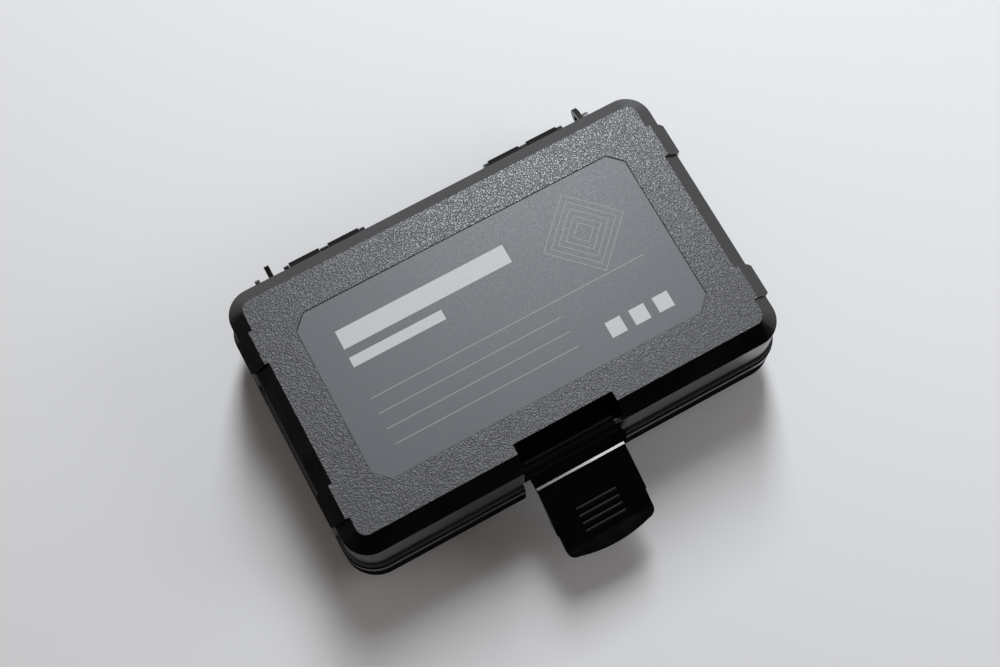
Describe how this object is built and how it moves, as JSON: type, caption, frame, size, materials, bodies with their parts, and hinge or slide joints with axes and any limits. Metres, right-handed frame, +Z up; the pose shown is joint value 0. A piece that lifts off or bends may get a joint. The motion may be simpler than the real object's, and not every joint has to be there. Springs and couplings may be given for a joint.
{
  "type": "small hard carrying case",
  "caption": "Small hard plastic carrying case with a hinged textured lid, a recessed label, a front swing latch and a foam lining with dividers inside.",
  "frame": {"origin": "middle of the flat bottom, between the two short sides and between the front and rear walls", "axes": "+X to the right along the long side seen from the latch, +Y from the latch to the hinges, +Z up through the lid"},
  "size_m": [0.204, 0.1726, 0.062],
  "materials": {
    "case_plastic": "black moulded plastic, grained top and satin edges",
    "latch_plastic": "glossy black moulded plastic",
    "label": "smooth satin grey film",
    "seal": "matt black rubber",
    "steel": "plain steel wire",
    "foam": "soft dark grey foam"
  },
  "bodies": {
    "base": {"base_shell": "case_plastic", "seal_gasket": "seal", "hinge_pin_left": "steel", "hinge_pin_right": "steel", "foam_pad": "foam", "foam_frame": "foam", "foam_divider_long": "foam", "foam_divider_short": "foam"},
    "lid": {"lid_shell": "case_plastic", "label_plate": "label", "latch_pin": "steel", "lid_foam": "foam"},
    "swing_latch": {"latch": "latch_plastic"}
  },
  "joints": [
    {"name": "lid_hinge", "type": "hinge", "parent": "base", "child": "lid", "pos_m": [0, 0.0685, 0.029], "axis": [-1, 0, 0], "range_deg": [0, 110]},
    {"name": "latch_pivot", "type": "hinge", "parent": "lid", "child": "swing_latch", "pos_m": [0, -0.0586, 0.0475], "axis": [-1, 0, 0], "range_deg": [-57, 63]}
  ]
}
